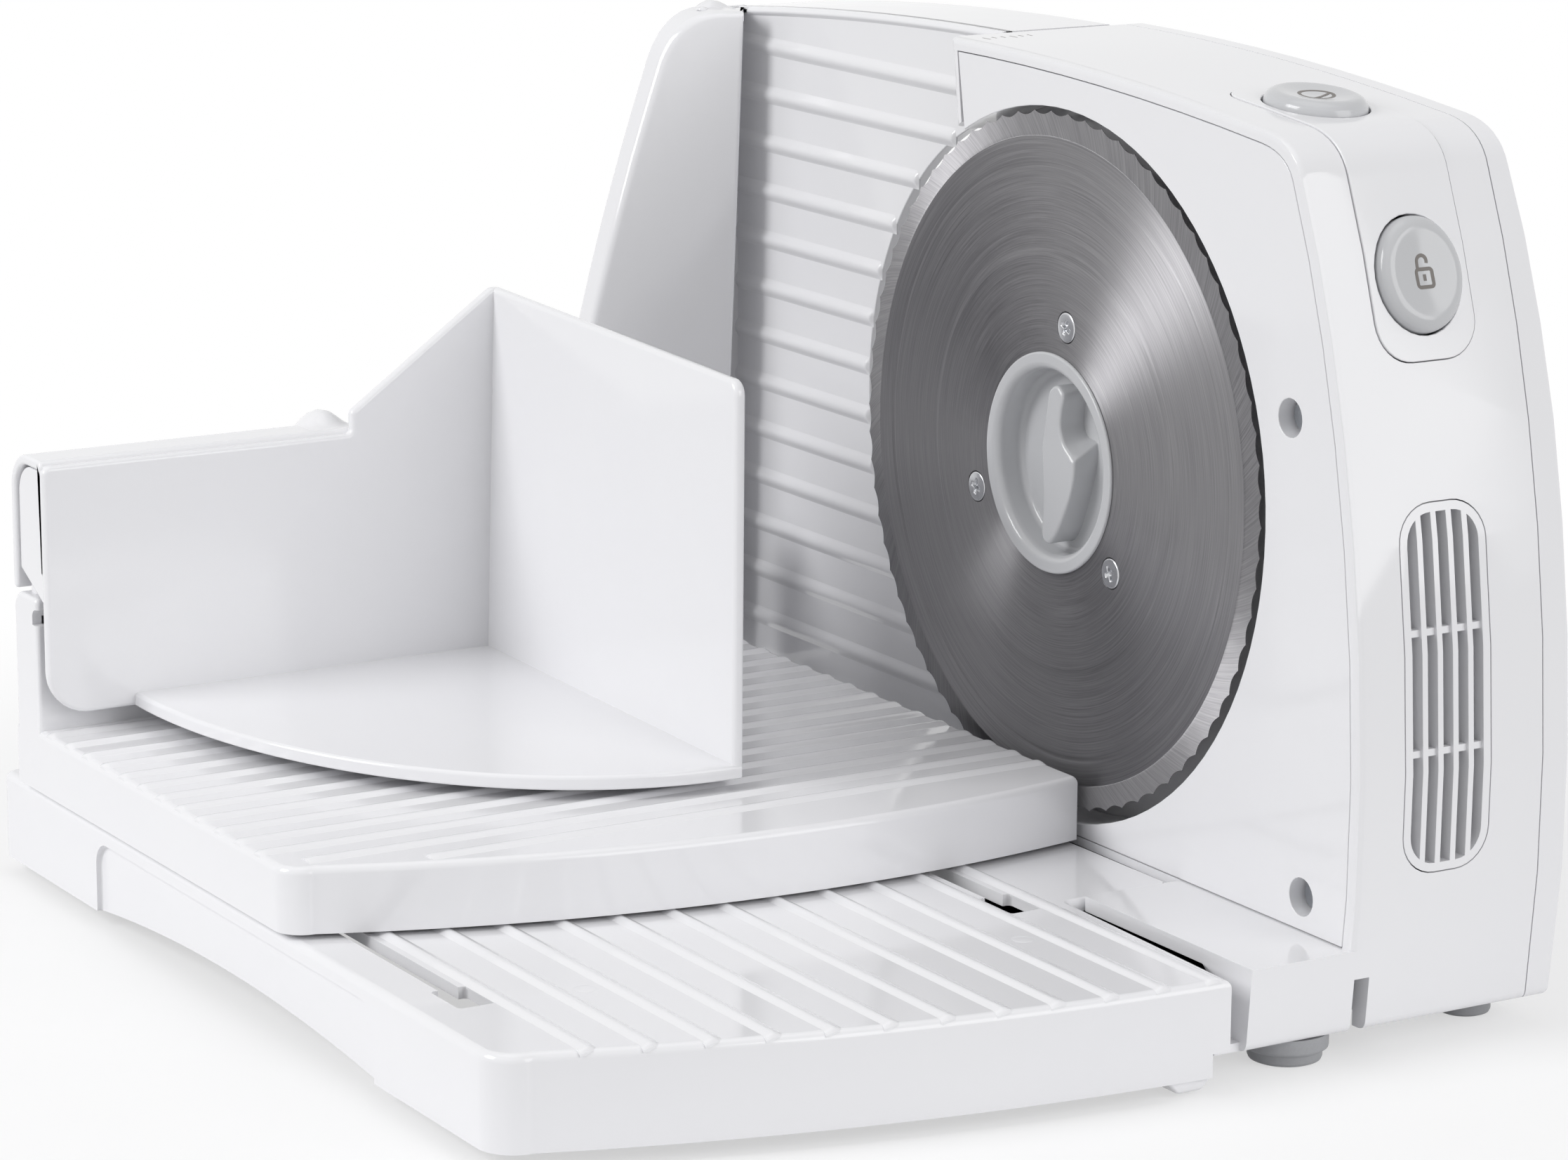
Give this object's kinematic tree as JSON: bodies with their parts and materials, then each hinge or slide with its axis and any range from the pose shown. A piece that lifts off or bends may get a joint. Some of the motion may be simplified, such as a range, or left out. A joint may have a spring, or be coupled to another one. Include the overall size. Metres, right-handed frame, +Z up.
{
  "type": "food slicer",
  "caption": "Electric household food slicer: round toothed blade on a motor tower, adjustable stop plate, hinged table, sliding food carriage and pusher.",
  "frame": {"origin": "middle of the slicer's box on the surface that it stands on", "axes": "+X from the food side through the blade to the motor side, +Y along the carriage's travel towards the far end, +Z up"},
  "size_m": [0.2734, 0.3068, 0.215],
  "materials": {
    "white_gloss": "glossy white moulded plastic",
    "grey_plastic": "light grey moulded plastic",
    "inner_plastic": "natural engineering plastic",
    "dark_plastic": "black moulded plastic",
    "blade_steel": "ground stainless steel",
    "steel": "plain bright steel",
    "bronze": "sintered bronze",
    "rubber": "grey rubber",
    "board": "green circuit board with black parts"
  },
  "bodies": {
    "base": {"tower_shell": "white_gloss", "rear_cover": "white_gloss", "rear_screw_1": "steel", "rear_screw_2": "steel", "rear_screw_3": "steel", "rear_screw_4": "steel", "front_plate": "white_gloss", "front_screw_1": "steel", "front_screw_2": "steel", "switch_bezel": "white_gloss", "power_button_spring": "steel", "lock_button_spring": "steel", "switch_block": "dark_plastic", "vent_grille": "white_gloss", "front_bush": "bronze", "rear_bush": "bronze", "motor_can": "steel", "motor_bracket": "steel", "worm_bush": "bronze", "rectifier_board": "board", "base_arm": "white_gloss", "foot_front": "rubber", "foot_rear": "rubber", "foot_far": "rubber", "table_foot_near": "rubber", "table_foot_far": "rubber", "hinge_pin_near": "steel", "hinge_pin_far": "steel", "table": "white_gloss"},
    "rotor": {"blade": "blade_steel", "blade_hub": "inner_plastic", "blade_screw_1": "steel", "blade_screw_2": "steel", "blade_screw_3": "steel", "drive_shaft": "steel", "worm_wheel": "inner_plastic"},
    "knob": {"blade_lock_knob": "grey_plastic"},
    "armature": {"motor_armature": "steel", "motor_fan": "dark_plastic", "worm": "bronze"},
    "power": {"power_button": "grey_plastic"},
    "lock": {"lock_button": "grey_plastic"},
    "stop": {"stop_plate": "white_gloss", "stop_rod_1": "steel", "stop_rod_2": "steel", "stop_slide_bar": "steel"},
    "dial": {"thickness_dial": "grey_plastic"},
    "carriage": {"carriage": "white_gloss"},
    "pusher": {"pusher": "white_gloss"}
  },
  "joints": [
    {"name": "blade_spin", "type": "hinge", "parent": "base", "child": "rotor", "pos_m": [0.06625, -0.02758, 0.117], "axis": [1, 0, 0], "continuous": true},
    {"name": "motor_spin", "type": "hinge", "parent": "base", "child": "armature", "pos_m": [0.1013, -0.02758, 0.0836], "axis": [0, 1, 0], "continuous": true},
    {"name": "knob_turn", "type": "hinge", "parent": "rotor", "child": "knob", "pos_m": [0.06625, -0.02758, 0.117], "axis": [1, 0, 0], "range_deg": [0, 60]},
    {"name": "power_press", "type": "slide", "parent": "base", "child": "power", "axis": [0, 0.097, -0.9953], "range_m": [0, 0.0025], "stiffness_N_per_m": 300, "springref_m": -0.002, "deforming": ["power_button_spring"]},
    {"name": "lock_press", "type": "slide", "parent": "base", "child": "lock", "axis": [0, 0.9476, -0.3193], "range_m": [0, 0.0025], "stiffness_N_per_m": 300, "springref_m": -0.002, "deforming": ["lock_button_spring"]},
    {"name": "stop_slide", "type": "slide", "parent": "base", "child": "stop", "axis": [1, 0, 0], "range_m": [-0.0155, 0]},
    {"name": "dial_turn", "type": "hinge", "parent": "base", "child": "dial", "pos_m": [0.12375, -0.03558, 0.034], "axis": [1, 0, 0], "range_deg": [0, 270]},
    {"name": "carriage_slide", "type": "slide", "parent": "base", "child": "carriage", "axis": [0, 1, 0], "range_m": [-0.105, 0.008]},
    {"name": "pusher_slide", "type": "slide", "parent": "carriage", "child": "pusher", "axis": [1, 0, 0], "range_m": [0, 0.07]}
  ],
  "couplings": [
    {"joint": "motor_spin", "follows": "blade_spin", "ratio": 40},
    {"joint": "dial_turn", "follows": "stop_slide", "rad_per_m": -300}
  ]
}
